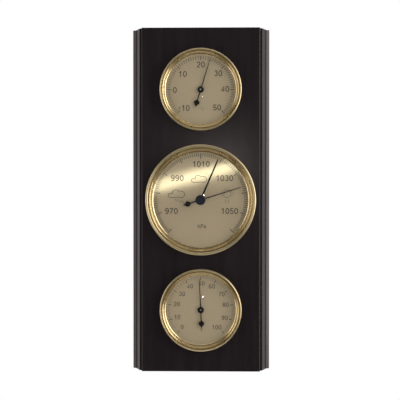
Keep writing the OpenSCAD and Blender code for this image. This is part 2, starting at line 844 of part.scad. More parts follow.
module barometer_bridge_screws() {
    color(steel) at_bridge_pillars() machine_screw(cock_z + plate_t, cock_z - plate_z + plate_t);
}

module barometer_arbor() {
    color(steel) {
        disc(arbor_r, plate_z, arbor_end);
        rotate(-hand_turn) rotate(atan2(shaft_y, shaft_x)) translate([0, 0, sector_z - 0.2])
            linear_extrude(sector_t + 0.4) pinion_profile();
    }
}

module barometer_hairspring() {
    color(bimetal) rotate(-14) translate([0, 0, hairspring_z])
        strip_coil(arbor_r + 0.1 + easing, hairspring_r, 5, 0.2, 0.6);
}

module barometer_sector() {
    color(brass) difference() {
        at_sector_shaft() translate([0, 0, sector_z]) linear_extrude(sector_t) sector_profile();
        translate([shaft_x, shaft_y, 0]) disc(arbor_r + 0.01, sector_z - bite, sector_z + sector_t + bite);
    }
}

module barometer_sector_shaft() {
    color(steel) translate([shaft_x, shaft_y, 0]) {
        disc(arbor_r, plate_z, cock_z + plate_t);
        disc(1.6, sector_z + sector_t, sector_z + sector_t + 1);
    }
}

// Shaft along x, with a short finger over the capsule and a rod that reaches the sector's tail
module barometer_rocker() {
    color(steel) translate([0, shaft_y, rocker_z]) rotate([rocker_turn, 0, 0]) {
        rotate([0, 90, 0]) translate([0, 0, lug_out_x - lug_t / 2])
            cylinder(r = rocker_r, h = lug_in_x - lug_out_x + lug_t);
        translate([-1.2, -short_arm - 1.1, -finger_low]) cube([2.4, short_arm + 1.1, finger_h]);
        translate([rod_x, 0, 0]) cylinder(r = rod_r, h = rod_reach + 1.2);
    }
}

module barometer_case() {
    case_cup(baro_d, baro_lip) {
        disc(3.2, back_z - bite, floor_z + bite);
        base_screw_places() disc(screw_r + easing, back_z - bite, floor_z + bite);
    }
}

// Set hand, its knob and the bush in the glass

dome_top = dome_z(baro_d, baro_lip, baro_dome_r) + baro_dome_r;
spindle_r = 1.5;
bush_r = 2.3;
bush_flange_r = 3.2;
bush_flange_t = 0.5;
set_hand_z = hand_z + hub_h - 0.5 + 0.8;    // underside of the set hand
set_collar_r = 2.3;
set_collar_h = 1.2;
set_root_w = 1.6;
set_tip_w = 1.4;

// Distance from the middle at which the underside of a dome comes down to a height
function dome_reach(d, lip, dome_r, height) =
    sqrt(pow(dome_r - glass_t, 2) - pow(height - dome_z(d, lip, dome_r), 2));
set_reach = min(set_hand_l, dome_reach(baro_d, baro_lip, baro_dome_r, set_hand_z + hand_t + free_gap));

module barometer_glass() {
    difference() {
        dome(baro_d, baro_lip, baro_dome_r);
        color(clear) disc(bush_r + easing, glass_z, dome_top + bite);
    }
}

module set_knob_bush() {
    color(black) tube(bush_flange_r, spindle_r + running, dome_top, dome_top + bush_flange_t);
    color(black) tube(bush_r, spindle_r + running, dome_top - glass_t - 1.2, dome_top + 0.1);
}

module set_knob_nut() {
    color(brass) difference() {
        translate([0, 0, dome_top - glass_t - 0.95]) cylinder(r = bush_flange_r, h = 0.9, $fn = 6);
        disc(bush_r + easing, dome_top - glass_t - 2, dome_top);
    }
}

module set_knob() {
    low = dome_top + bush_flange_t + easing;
    high = low + knob_h;
    edge = 0.9;
    color(black) union() {
        disc(spindle_r, set_hand_z - 0.3, low + 0.5);
        rotate_extrude() polygon(concat(
            [[0, low], [knob_r - 0.3, low], [knob_r, low + 0.3]],
            arc(knob_r - edge, high - edge, edge, edge, 0, 90, 6),
            [[knob_r * 0.62, high], [knob_r * 0.5, high - 0.3], [0, high - 0.3]]
        ));
    }
}

module set_hand() {
    color(black) rotate(-pressure_angle(set_pressure)) translate([0, 0, set_hand_z]) difference() {
        union() {
            linear_extrude(hand_t) polygon([
                [-set_root_w / 2, 0], [set_root_w / 2, 0],
                [set_tip_w / 2, set_reach], [-set_tip_w / 2, set_reach]
            ]);
            disc(set_collar_r, -0.3, set_collar_h - 0.3);
        }
        disc(spindle_r + 0.01, -1, set_collar_h + bite);
    }
}

// Nodes

module small_hand(turn) {
    rotate(-turn) translate([0, 0, hand_z]) tailed_hand(small_hand_l, tail_l, hub_r);
}

backboard();
hanger_plate();
hanger_screws();

facing(thermo_z) fit_ring(small_d, small_lip);  // thermometer_fit_ring
facing(thermo_z) coil_case(small_d, small_lip);  // thermometer_case
facing(thermo_z) bezel(small_d, small_lip, small_bead);  // thermometer_bezel
facing(thermo_z) dial_ring(small_d, small_lip);  // thermometer_ring
facing(thermo_z) dome(small_d, small_lip, small_dome_r);  // thermometer_glass
facing(thermo_z) dial(small_d, small_lip, 1.5);  // thermometer_dial
facing(thermo_z) small_hand(temperature_angle(temperature));  // thermometer_hand
facing(thermo_z) coil_arbor(thermo_strip_w);  // thermometer_arbor
facing(thermo_z) coil(thermo_strip_w, thermo_turns);  // thermometer_coil
facing(thermo_z) adjuster();  // thermometer_adjuster
facing(thermo_z) coil_arm(thermo_strip_w);  // thermometer_coil_arm
facing(thermo_z) small_bridge();  // thermometer_bridge
facing(thermo_z) small_pillars();  // thermometer_pillars

facing(hygro_z) fit_ring(small_d, small_lip);  // hygrometer_fit_ring
facing(hygro_z) coil_case(small_d, small_lip);  // hygrometer_case
facing(hygro_z) bezel(small_d, small_lip, small_bead);  // hygrometer_bezel
facing(hygro_z) dial_ring(small_d, small_lip);  // hygrometer_ring
facing(hygro_z) dome(small_d, small_lip, small_dome_r);  // hygrometer_glass
facing(hygro_z) dial(small_d, small_lip, 1.5);  // hygrometer_dial
facing(hygro_z) small_hand(humidity_angle(humidity));  // hygrometer_hand
facing(hygro_z) coil_arbor(hygro_strip_w);  // hygrometer_arbor
facing(hygro_z) coil(hygro_strip_w, hygro_turns);  // hygrometer_coil
facing(hygro_z) adjuster();  // hygrometer_adjuster
facing(hygro_z) coil_arm(hygro_strip_w);  // hygrometer_coil_arm
facing(hygro_z) small_bridge();  // hygrometer_bridge
facing(hygro_z) small_pillars();  // hygrometer_pillars
small_bridge_screws();

facing(mid_z) fit_ring(baro_d, baro_lip);  // barometer_fit_ring
facing(mid_z) barometer_case();
facing(mid_z) bezel(baro_d, baro_lip, baro_bead);  // barometer_bezel
facing(mid_z) dial_ring(baro_d, baro_lip);  // barometer_ring
facing(mid_z) barometer_glass();
facing(mid_z) dial(baro_d, baro_lip, 1.5);  // barometer_dial
facing(mid_z) rotate(-hand_turn) translate([0, 0, hand_z])  // barometer_hand
    tailed_hand(baro_hand_l, tail_l, 2.2);
facing(mid_z) barometer_arbor();
facing(mid_z) barometer_hairspring();
facing(mid_z) barometer_sector();
facing(mid_z) barometer_sector_shaft();
facing(mid_z) barometer_rocker();
facing(mid_z) barometer_capsule();
facing(mid_z) barometer_capsule_stem();
facing(mid_z) barometer_carrier();
facing(mid_z) barometer_carrier_screws();
facing(mid_z) barometer_base_plate();
facing(mid_z) barometer_base_screws();
facing(mid_z) barometer_pillars();
facing(mid_z) barometer_movement_plate();
facing(mid_z) barometer_plate_screws();
facing(mid_z) barometer_bridge();
facing(mid_z) barometer_bridge_pillars();
facing(mid_z) barometer_bridge_screws();
facing(mid_z) barometer_adjusting_screw();
facing(mid_z) set_hand();
facing(mid_z) set_knob();
facing(mid_z) set_knob_bush();
facing(mid_z) set_knob_nut();
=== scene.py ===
# %% [markdown]
# # A weather station for the wall
#
# Three round instruments, a thermometer, a barometer and a hygrometer, hang on one moulded board.
# The exact solids of every piece are loaded first. They set all sizes and places, and this file
# dresses them: pieces that show are made again with finer forms, and all get a real finish.
# Lengths are in metres, X runs to the right, Z up, and the dials look towards -Y.

# %% Load the frame
import math

import bmesh
import bpy
from mathutils import Matrix, Vector


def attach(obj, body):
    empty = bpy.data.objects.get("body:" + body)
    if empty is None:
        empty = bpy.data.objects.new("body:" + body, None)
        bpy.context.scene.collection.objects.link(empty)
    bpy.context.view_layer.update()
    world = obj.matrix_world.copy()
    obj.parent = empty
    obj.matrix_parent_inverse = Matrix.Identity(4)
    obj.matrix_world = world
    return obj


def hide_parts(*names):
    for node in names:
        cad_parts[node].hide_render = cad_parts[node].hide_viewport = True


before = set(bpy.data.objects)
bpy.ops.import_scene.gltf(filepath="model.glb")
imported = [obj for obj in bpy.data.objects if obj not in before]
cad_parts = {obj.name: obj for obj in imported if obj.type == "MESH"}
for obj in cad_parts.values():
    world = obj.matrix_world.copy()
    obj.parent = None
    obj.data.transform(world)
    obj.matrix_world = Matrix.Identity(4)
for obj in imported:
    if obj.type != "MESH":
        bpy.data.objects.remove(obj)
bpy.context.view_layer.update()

# %% [markdown]
# ## The camera
#
# The photograph was taken from about 0.9 m, level, a little to the right of the board's middle
# and a finger's breadth above it. A perspective camera in that place, with a lens that makes a
# pixel 0.91 mm at the board's front, gives the same narrow view of the mouldings.

# %% Camera
board_front = -0.022
distance = 0.909
focal_length = 89.94
camera_place = Vector((0.018, board_front - distance, -0.130))
aim = Vector((-0.0007, board_front, -0.14214))

camera = bpy.data.objects.new("camera", bpy.data.cameras.new("camera"))
camera.data.lens = focal_length
camera.location = camera_place
camera.rotation_euler = (aim - camera_place).to_track_quat("-Z", "Y").to_euler()
bpy.context.scene.collection.objects.link(camera)
bpy.context.scene.camera = camera
bpy.context.scene.view_settings.view_transform = "Standard"
print("camera at", [round(v, 3) for v in camera_place], "with a lens of", focal_length, "mm")

# %% [markdown]
# ## Shader maths
#
# Most finishes below are sums and products of noise, so they read best as plain expressions.
# A `Wire` holds one output of a node, and + - * on it add Math nodes.

# %% Wires
class Wire:
    """One output of a shader node, which can be used in sums."""

    def __init__(self, bench, socket):
        self.bench, self.socket = bench, socket

    def maths(self, operation, first, second):
        return self.bench.node("ShaderNodeMath", {"operation": operation}, {0: first, 1: second})

    def __add__(self, other):
        return self.maths("ADD", self, other)

    def __sub__(self, other):
        return self.maths("SUBTRACT", self, other)

    def __rsub__(self, other):
        return self.maths("SUBTRACT", other, self)

    def __mul__(self, other):
        return self.maths("MULTIPLY", self, other)

    __radd__ = __add__
    __rmul__ = __mul__

    def either(self, other):
        """The larger of two shares, so 1 where one of them is 1."""
        return self.maths("MAXIMUM", self, other)

    def twin(self, name):
        """Another output of the same node."""
        return Wire(self.bench, self.socket.node.outputs[name])


print("wires ready")

# %% [markdown]
# A `Bench` holds a node tree, and its one method `node` adds any node: the type, its settings,
# then its sockets. The other methods name the few steps that nearly every finish takes, such as
# noise, a place on the surface or a relief. `finish` turns a look into a material.

# %% Benches
class Bench:
    """A node tree to work on."""

    def __init__(self, tree):
        self.tree = tree
        tree.nodes.clear()

    def node(self, kind, settings=None, sockets=None, output=0):
        made = self.tree.nodes.new(kind)
        for name, value in (settings or {}).items():
            if name == "stops":
                stops = made.color_ramp.elements
                while len(stops) < len(value):
                    stops.new(1)
                for stop, (place, colour) in zip(stops, value):
                    stop.position, stop.color = place, (*colour, 1)
            else:
                setattr(made, name, value)
        for name, value in (sockets or {}).items():
            if isinstance(value, Wire):
                self.tree.links.new(value.socket, made.inputs[name])
            elif made.inputs[name].type == "RGBA":
                made.inputs[name].default_value = (*value, 1)
            else:
                made.inputs[name].default_value = value
        return Wire(self, made.outputs[output]) if made.outputs else None

    def mix(self, share, first, second):
        """Colour that goes from first to second as share goes from 0 to 1."""
        sockets = {0: share, 6: first, 7: second}
        return self.node("ShaderNodeMix", {"data_type": "RGBA"}, sockets, output=2)

    def ramp(self, value, *stops):
        return self.node("ShaderNodeValToRGB", {"stops": stops}, {0: value})

    def noise(self, place, scale, detail=3.0, roughness=0.55):
        sockets = {"Vector": place, "Scale": scale, "Detail": detail, "Roughness": roughness}
        return self.node("ShaderNodeTexNoise", None, sockets)

    def place(self, stretch=(1, 1, 1), turn=(0, 0, 0)):
        """Where a point of the surface is, stretched so that noise grows into grain or lines."""
        spot = self.node("ShaderNodeTexCoord", output="Object")
        sockets = {"Vector": spot, "Scale": stretch, "Rotation": turn}
        return self.node("ShaderNodeMapping", None, sockets)

    def relief(self, height, depth, strength=1.0):
        """Normals of a surface that is rough or lined to that depth, in metres."""
        sockets = {"Height": height, "Distance": depth, "Strength": strength}
        return self.node("ShaderNodeBump", None, sockets)

    def surface(self, **sockets):
        named = {name.replace("_", " "): value for name, value in sockets.items()}
        return self.node("ShaderNodeBsdfPrincipled", None, named)


def finish(name, look):
    """A material whose surface is what look makes on its bench."""
    material = bpy.data.materials.new(name)
    material.use_nodes = True
    bench = Bench(material.node_tree)
    bench.node("ShaderNodeOutputMaterial", None, {"Surface": look(bench)})
    return material


print("benches ready")

# %% [markdown]
# ## The room
#
# The station is shown on white, with no wall behind it. The world is white where the camera, a
# mirror or a glass looks at it, and a softer grey as a source of light, so that the dark wood
# keeps its depth.

# %% World
world = bpy.data.worlds.new("room")
bpy.context.scene.world = world
world.use_nodes = True
bench = Bench(world.node_tree)
ray = bench.node("ShaderNodeLightPath", output="Is Camera Ray")
looked_at = ray.either(ray.twin("Is Glossy Ray")).either(ray.twin("Is Transmission Ray"))
air = bench.node("ShaderNodeBackground", None, {
    "Color": bench.mix(looked_at, (0.84, 0.84, 0.85), (1, 1, 1))})
bench.node("ShaderNodeOutputWorld", None, {"Surface": air})
print("world:", len(world.node_tree.nodes), "nodes")

# %% [markdown]
# Polished brass and domed glass show the room that they face. A studio hangs a dark cloth behind
# the camera for that, so that the glass stays clear and the brass gets its dark lines. Its walls
# are dark beside the station and lighter far behind it, where the steep slopes of the brass and
# of the moulding look. White card that glows a little stands in for a lit reflector.

# %% Paints of the studio
room_back = 5


def pale_floor(bench):
    mottle = bench.noise(bench.place(), 6)
    colour = bench.mix(mottle, (0.78, 0.78, 0.77), (0.84, 0.84, 0.83))
    return bench.surface(Base_Color=colour, Roughness=0.8)


def black_cloth(bench):
    nap = bench.noise(bench.place(), 40)
    colour = bench.mix(nap, (0.01, 0.01, 0.012), (0.02, 0.02, 0.022))
    return bench.surface(Base_Color=colour, Roughness=0.9)


def grey_wall(bench):
    """Dark beside the station and lighter behind it, from 1.2 m to 2.4 m behind the board."""
    spot = bench.node("ShaderNodeSeparateXYZ", None, {0: bench.place()})
    far = bench.ramp(spot.twin("Y") * (1 / room_back), (0.24, (0, 0, 0)), (0.48, (1, 1, 1)))
    paint = 0.1 * bench.noise(bench.place(), 2)
    colour = bench.mix(far + paint, (0.24, 0.23, 0.22), (0.57, 0.55, 0.52))
    return bench.surface(Base_Color=colour, Roughness=0.9)


def white_card(bench):
    pulp = bench.noise(bench.place(), 30)
    return bench.surface(
        Base_Color=bench.mix(pulp, (0.78, 0.77, 0.75), (0.82, 0.81, 0.79)), Roughness=0.9,
        Emission_Color=(1, 0.97, 0.93), Emission_Strength=0.62)


print("paints of the floor, the cloth, the walls and the cards ready")

# %% [markdown]
# A pale disc of floor lies half a metre below the hanger, under the edge of the picture, and
# takes what shadow falls that far. The cloth, the walls and two cards, one above and one below,
# are there for mirrors alone: the camera doesn't see them, and they neither light nor shade.

# %% Floor, cloth, walls and cards
floor_radius, floor_height = 0.22, -0.48
room_side, room_top, room_front = 3.5, 3.3, -1.5
card_reach, card_half = 0.8, 0.14


def flat_sheet(name, corners, look):
    """A flat sheet of the studio, which isn't part of the object."""
    mesh = bpy.data.meshes.new(name)
    mesh.from_pydata(corners, [], [range(len(corners))])
    sheet = bpy.data.objects.new(name, mesh)
    mesh.materials.append(finish(name, look))
    bpy.context.scene.collection.objects.link(sheet)
    return sheet


turns = [math.tau * i / 96 for i in range(96)]
rim = [(floor_radius * math.cos(a), floor_radius * math.sin(a), floor_height) for a in turns]
flat_sheet("floor", rim, pale_floor)

room_corners = [(-room_side, -room_side), (-room_side, room_top),
                (room_side, room_top), (room_side, -room_side)]
sheets = [flat_sheet("cloth", [(x, room_front, z) for x, z in room_corners], black_cloth)]
for i, (x, z) in enumerate(room_corners):
    far_x, far_z = room_corners[(i + 1) % 4]
    wall = [(x, room_front, z), (far_x, room_front, far_z),
            (far_x, room_back, far_z), (x, room_back, z)]
    sheets.append(flat_sheet(f"wall_{i + 1}", wall, grey_wall))

for name, y, z, lean in (("card_low", -0.45, -1.3, -0.13), ("card_high", -0.45, 1.0, 0.13)):
    ends = ((-card_reach, -1), (card_reach, -1), (card_reach, 1), (-card_reach, 1))
    corners = [(x, y + side * card_half, z + side * lean) for x, side in ends]
    card = flat_sheet(name, corners, white_card)
    card.data.materials[0].cycles.emission_sampling = "NONE"
    sheets.append(card)
for sheet in sheets:
    sheet.visible_camera = sheet.visible_diffuse = sheet.visible_shadow = False
print("floor, cloth, four walls and two cards up")

# %% [markdown]
# ## The lamps
#
# One large soft lamp stands to the right and a weaker one to the left, both so far round that
# the domed glasses don't mirror them. They draw the bright arcs on the bezels and the light edges
# of the mouldings. A small lamp sits just above the lens: each dome mirrors it as a white dot,
# and the brushed dial of the barometer spreads it into a slanting sheen.

# %% Lamps
heart = Vector((0, -0.02, -0.142))


def soft_lamp(name, place, width, height, power, colour):
    lamp = bpy.data.objects.new(name, bpy.data.lights.new(name, "AREA"))
    lamp.data.shape = "RECTANGLE"
    lamp.data.size, lamp.data.size_y = width, height
    lamp.data.energy, lamp.data.color = power, colour
    lamp.location = place
    lamp.rotation_euler = (heart - Vector(place)).to_track_quat("-Z", "Y").to_euler()
    lamp.visible_camera = False
    bpy.context.scene.collection.objects.link(lamp)
    return lamp


soft_lamp("lamp_right", (0.95, -0.62, 0.05), width=0.5, height=1.2, power=7.8,
          colour=(1, 0.98, 0.95))
soft_lamp("lamp_left", (-0.95, -0.62, -0.12), width=0.45, height=1.1, power=3.1,
          colour=(1, 0.96, 0.92))
spark = soft_lamp("lamp_lens", (0.022, -0.935, -0.097), width=0.02, height=0.02, power=0.09,
                  colour=(0.96, 1, 0.9))
spark.data.shape = "DISK"

# %% [markdown]
# ## Dark stained wood
#
# The board is a close-grained wood, stained almost black with a reddish cast and rubbed down to
# a satin lacquer. The grain runs up the board, so the noise is stretched along Z. A broad figure
# sets the colour, and fine pores make the surface a little rougher and lower.

# %% Stained wood
def stained_wood(bench):
    figure = bench.noise(bench.place(stretch=(1, 1, 0.06)), 140, detail=5, roughness=0.6)
    pores = bench.noise(bench.place(stretch=(1, 1, 0.035)), 1500, detail=2)
    cloud = bench.noise(bench.place(), 22, detail=2)
    open_pore = bench.ramp(pores, (0.42, (1, 1, 1)), (0.52, (0, 0, 0)))
    stain = bench.mix(bench.ramp(figure, (0.35, (0, 0, 0)), (0.68, (1, 1, 1))),
                      (0.0098, 0.0074, 0.0084), (0.0145, 0.0105, 0.0115))
    colour = bench.mix(open_pore * 0.3, stain, (0.006, 0.0045, 0.005))
    return bench.surface(
        Base_Color=colour,
        Roughness=0.19 + 0.03 * cloud + 0.02 * open_pore,
        Specular_IOR_Level=0.5, Specular_Tint=(1, 0.84, 0.88),
        Normal=bench.relief(figure * 0.6 - open_pore * 0.4, 0.000008, 0.2),
    )


print("stained wood ready")

# %% [markdown]
# ## Brass, polished and plain
#
# The bezels are spun brass, polished and lacquered: a smooth mirror with faint traces of
# polishing. Their outer bead is softer from years of wiping. The slope inside it is painted a
# deeper, darker gold, which is painted shade for the darker room that this slope mirrors. The
# cases behind the board are drawn sheet, duller and touched by handling, and the movement's
# plates and pillars are cut brass with a fine grain.
# One recipe serves them all.

# %% Brass
def brass(light, dark, smooth, rough, lines, depth, slope_edge=None):
    """Look of a brass: two colours, two roughnesses, and how fine and how deep its lines are.

    A bezel has its slope within the radius slope_edge and its bead outside it."""
    def look(bench):
        cloud = bench.noise(bench.place(), 45, detail=4)
        fine = bench.noise(bench.place(stretch=(1, 1, 0.15)), lines, detail=2)
        colour = bench.mix(bench.ramp(cloud, (0.35, (0, 0, 0)), (0.75, (1, 1, 1))), light, dark)
        polish = smooth + (rough - smooth) * cloud
        if slope_edge:
            x = bench.node("ShaderNodeSeparateXYZ", None, {0: bench.place()})
            z = x.twin("Z")
            # Painted shade: the slope gets a darker gold, for the darker room that it mirrors.
            slope = x.maths("LESS_THAN", x * x + z * z, slope_edge ** 2)
            colour = bench.mix(slope, colour, (0.72, 0.55, 0.28))
            polish = polish + 0.05 * slope + 0.16 * (1 - slope)
        return bench.surface(Base_Color=colour, Metallic=1.0, Roughness=polish,
                             Normal=bench.relief(fine, depth, 0.3))
    return look


polished = {"light": (0.97, 0.81, 0.49), "dark": (0.92, 0.75, 0.43),
            "smooth": 0.2, "rough": 0.25, "lines": 900, "depth": 0.0000004}
brasses = {
    "polished_brass": brass(**polished),
    # Both bezel brasses carry that painted shade on their slope.
    "large_bezel_brass": brass(**polished, slope_edge=0.0473),
    "small_bezel_brass": brass(**polished, slope_edge=0.0355),
    "brass_sheet": brass((0.62, 0.45, 0.20), (0.42, 0.29, 0.13), 0.28, 0.48, 600, 0.00001),
    "brass": brass((0.74, 0.56, 0.27), (0.64, 0.46, 0.20), 0.22, 0.34, 1600, 0.00001),
}
print(len(brasses), "brasses ready")

# %% [markdown]
# ## The dials' champagne metal
#
# The dials are thin metal with a champagne tone under a clear lacquer, brushed along one
# direction that leans a little to the left of upright. Such lines spread a mirrored lamp across
# them, not along them. The shader's anisotropy does this, but one lobe of it is too short for the
# long sheen of a fine brush. So three are mixed, each tilted a little more to the side, as the
# flanks of the brush lines are.

# %% Dial metal
brush_turn = 0.036
brush_leans = ((0, 0, 0), (0.03, 0, 0.008), (0.06, 0, 0.0165))


def dial_metal(bench):
    brushed = bench.noise(bench.place(stretch=(1, 1, 0.02), turn=(0, 0.25, 0)), 2600, detail=2)
    cloud = bench.noise(bench.place(), 35, detail=3)
    tone = bench.mix(cloud, (0.56, 0.47, 0.31), (0.62, 0.50, 0.33))
    colour = bench.mix(0.35 * brushed, tone, (0.44, 0.36, 0.22))
    flat = bench.node("ShaderNodeNewGeometry", output="Normal")
    lobes = []
    for lean in brush_leans:
        tilted = bench.node("ShaderNodeVectorMath", {"operation": "ADD"}, {0: flat, 1: lean})
        lobes.append(bench.surface(
            Base_Color=colour, Metallic=0.5, Roughness=0.09 + 0.02 * cloud,
            Anisotropic=1.0, Anisotropic_Rotation=brush_turn, Normal=tilted))
    pair = bench.node("ShaderNodeMixShader", None, {0: 0.5, 1: lobes[1], 2: lobes[2]})
    return bench.node("ShaderNodeMixShader", None, {0: 0.667, 1: lobes[0], 2: pair})


print("dial metal mixes", len(brush_leans), "lobes")

# %% [markdown]
# ## Glass
#
# Each dome is a clear shell 1.2 mm thick. Real light finds its way through it, but a renderer
# would lose most of what lights the dial, so rays that carry light pass straight through and
# only what is seen is bent and mirrored.

# %% Glass
def clear_glass(bench):
    ray = bench.node("ShaderNodeLightPath", output="Is Shadow Ray")
    passing = ray.either(ray.twin("Is Diffuse Ray"))
    glass = bench.surface(Base_Color=(1, 1, 1), Roughness=0.0, IOR=1.5, Transmission_Weight=1.0)
    straight = bench.node("ShaderNodeBsdfTransparent")
    return bench.node("ShaderNodeMixShader", None, {0: passing, 1: glass, 2: straight})


print("glass ready")

# %% [markdown]
# ## Black lacquer, black plastic, rubber and ink
#
# The hands are stamped steel in a thin black lacquer, the knob is polished black plastic, the
# rings that hold the cases in the wood are dull rubber, and the scales are printed in a
# brown-black ink. All four are dark, and differ in how they mirror the room.

# %% Dark finishes
def black_lacquer(bench):
    peel = bench.noise(bench.place(), 700, detail=2)
    return bench.surface(
        Base_Color=bench.mix(peel, (0.006, 0.005, 0.005), (0.011, 0.008, 0.008)),
        Roughness=0.2 + 0.08 * peel, Specular_IOR_Level=0.3,
        Normal=bench.relief(peel, 0.000002, 0.3),
    )


def black_plastic(bench):
    polish = bench.noise(bench.place(), 500, detail=3)
    return bench.surface(
        Base_Color=bench.mix(polish, (0.006, 0.008, 0.013), (0.012, 0.015, 0.022)),
        Roughness=0.36 + 0.06 * polish, Specular_IOR_Level=0.25,
    )


def dull_rubber(bench):
    bloom = bench.noise(bench.place(), 260, detail=4)
    return bench.surface(
        Base_Color=bench.mix(bloom, (0.018, 0.018, 0.018), (0.045, 0.044, 0.042)),
        Roughness=0.65 + 0.2 * bloom, Normal=bench.relief(bloom, 0.00004, 0.6),
    )


def printing_ink(bench):
    cover = bench.noise(bench.place(), 1400, detail=2)
    return bench.surface(
        Base_Color=bench.mix(cover, (0.008, 0.006, 0.004), (0.018, 0.013, 0.008)),
        Roughness=0.5 + 0.1 * cover,
    )


print("lacquer, plastic, rubber and ink ready")

# %% [markdown]
# ## Steel, zinc, spring metals and the strips
#
# The movement's small parts are turned steel, the bridges and the hanger are zinc-plated with a
# faint crystal pattern, the capsule is nickel silver, and the hairspring is bronze. The
# thermometer's coil joins two metals and shows heat tints; the hygrometer's carries a pale film.

# %% Other metals
def metal(light, dark, smooth, rough, scale):
    """Look of a bare metal: two colours, two roughnesses, and the size of its mottle per metre."""
    def look(bench):
        mottle = bench.noise(bench.place(), scale, detail=4)
        return bench.surface(
            Base_Color=bench.mix(mottle, light, dark), Metallic=1.0,
            Roughness=smooth + (rough - smooth) * mottle,
            Normal=bench.relief(mottle, 0.00001, 0.4),
        )
    return look


def zinc_plate(bench):
    sockets = {"Vector": bench.place(), "Scale": 420.0}
    crystal = bench.node("ShaderNodeTexVoronoi", None, sockets, output="Color")
    shade = bench.node("ShaderNodeSeparateColor", None, {0: crystal})
    return bench.surface(
        Base_Color=bench.mix(shade, (0.52, 0.53, 0.55), (0.66, 0.67, 0.68)), Metallic=1.0,
        Roughness=0.3 + 0.2 * shade,
    )


def pale_film(bench):
    fibre = bench.noise(bench.place(stretch=(1, 1, 0.2)), 900, detail=3)
    return bench.surface(
        Base_Color=bench.mix(fibre, (0.62, 0.56, 0.43), (0.74, 0.69, 0.57)),
        Roughness=0.55 + 0.2 * fibre,
    )


print("metals and film ready")

# %% [markdown]
# ## Every solid gets its finish
#
# Each solid of the frame names what it is made of. So the pieces that keep their exact solids,
# such as the whole movement behind the dials, get a real finish from the same table as the
# pieces that are made again below.

# %% Table of finishes
looks = {
    "stained_wood": stained_wood,
    **brasses,
    "dial_metal": dial_metal,
    "glass": clear_glass,
    "black_lacquer": black_lacquer,
    "black_plastic": black_plastic,
    "rubber": dull_rubber,
    "ink": printing_ink,
    "zinc_steel": zinc_plate,
    "steel": metal((0.66, 0.66, 0.66), (0.54, 0.54, 0.54), 0.34, 0.48, 700),
    "nickel_silver": metal((0.66, 0.63, 0.56), (0.54, 0.51, 0.44), 0.24, 0.4, 300),
    "spring_bronze": metal((0.62, 0.40, 0.22), (0.50, 0.30, 0.15), 0.2, 0.32, 900),
    "bimetal": metal((0.50, 0.42, 0.34), (0.36, 0.34, 0.40), 0.26, 0.4, 160),
    "hygroscopic_strip": pale_film,
}
finishes = {name: finish(name, look) for name, look in looks.items()}
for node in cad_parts.values():
    for place in node.material_slots:
        place.material = finishes[place.material.name.split(".")[0]]
print(len(finishes), "finishes on", len(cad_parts), "nodes")

# %% [markdown]
# ## The board
#
# The board is planed, moulded along both long sides and cut straight at its ends, with three
# large bores and the recess for the hanger behind. Its solid is exact but has knife edges. A
# real arris is broken with a few strokes of sandpaper, so a copy of the solid gets small round
# edges with a Bevel modifier. The solid comes with fixed normals that would bend the light on
# the copy's flat faces, so they are dropped, and only curved faces are shaded smooth.

# %% Board
def settle(piece, body, material, *stands_for, slot=None):
    """Puts a finished piece on its body, in its finish, and in place of its solids."""
    bpy.context.scene.collection.objects.link(piece)
    piece.data.materials.clear()
    piece.data.materials.append(finishes[material])
    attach(piece, body)
    if stands_for:
        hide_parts(*stands_for)
    return piece


def rounded_at(mesh, degrees=35):
    """Smooth shading, with a crease where faces meet at more than that angle."""
    mesh.shade_smooth()
    mesh.set_sharp_from_angle(angle=math.radians(degrees))


shape = bmesh.new()
shape.from_mesh(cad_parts["backboard"].data)
bmesh.ops.remove_doubles(shape, verts=shape.verts, dist=1e-6)
bmesh.ops.dissolve_limit(
    shape, angle_limit=math.radians(0.5), verts=shape.verts, edges=shape.edges)
planed = bpy.data.meshes.new("board_wood")
shape.to_mesh(planed)
shape.free()
if "custom_normal" in planed.attributes:
    planed.attributes.remove(planed.attributes["custom_normal"])
rounded_at(planed, 25)
board = settle(bpy.data.objects.new("board_wood", planed), "board", "stained_wood", "backboard")
arris = board.modifiers.new("arris", "BEVEL")
arris.width, arris.segments = 0.0003, 2
arris.limit_method, arris.angle_limit = "ANGLE", math.radians(50)
board.modifiers.new("flat_faces_stay_flat", "WEIGHTED_NORMAL").keep_sharp = True
print("board:", len(planed.polygons), "faces, edges rounded by", arris.width * 1000, "mm")

# %% [markdown]
# ## Turning on the lathe
#
# Bezels, rings, glasses, the knob and the hubs are all round. Each is a section, a closed list
# of (radius, depth) points in millimetres, turned about the dial's axis. Depth is measured from
# the wall towards the viewer. These depths are the solids' own, and only the arcs are finer.

# %% Lathe
heights = {"thermometer": -42.0, "barometer": -142.0, "hygrometer": -242.0}
face, dial_back, print_z = 22, 22.8, 23.4
glass_z, seat, crest = 26.2, 27.4, 30


def arc(x, y, rx, ry, start, end, steps):
    """Points along an arc, in degrees from +x."""
    sweep = [math.radians(start + (end - start) * i / steps) for i in range(steps + 1)]
    return [(x + rx * math.cos(a), y + ry * math.sin(a)) for a in sweep]


def facing(x, y, depth):
    """A point of a dial, as the viewer sees it, in metres from the dial's centre on the wall."""
    return Vector((x, -depth, y)) / 1000


def turned(shape, section, steps=256):
    """Adds a turned solid to a mesh in the making."""
    rings = []
    for radius, depth in section:
        if radius < 1e-6:
            rings.append([shape.verts.new(facing(0, 0, depth))])
            continue
        angles = [math.tau * i / steps for i in range(steps)]
        spots = [(radius * math.sin(a), radius * math.cos(a)) for a in angles]
        rings.append([shape.verts.new(facing(x, y, depth)) for x, y in spots])
    for one, two in zip(rings, rings[1:] + rings[:1]):
        for i in range(steps):
            j = (i + 1) % steps
            corners = [one[i % len(one)], one[j % len(one)],
                       two[j % len(two)], two[i % len(two)]]
            corners = list(dict.fromkeys(corners))
            if len(corners) > 2:
                shape.faces.new(corners)


print("lathe ready")

# %% [markdown]
# A piece is made at its own dial's centre, so that its axis is the axis that it turns about.
# All its parts go into one mesh, are closed, and get creases where faces meet sharply.

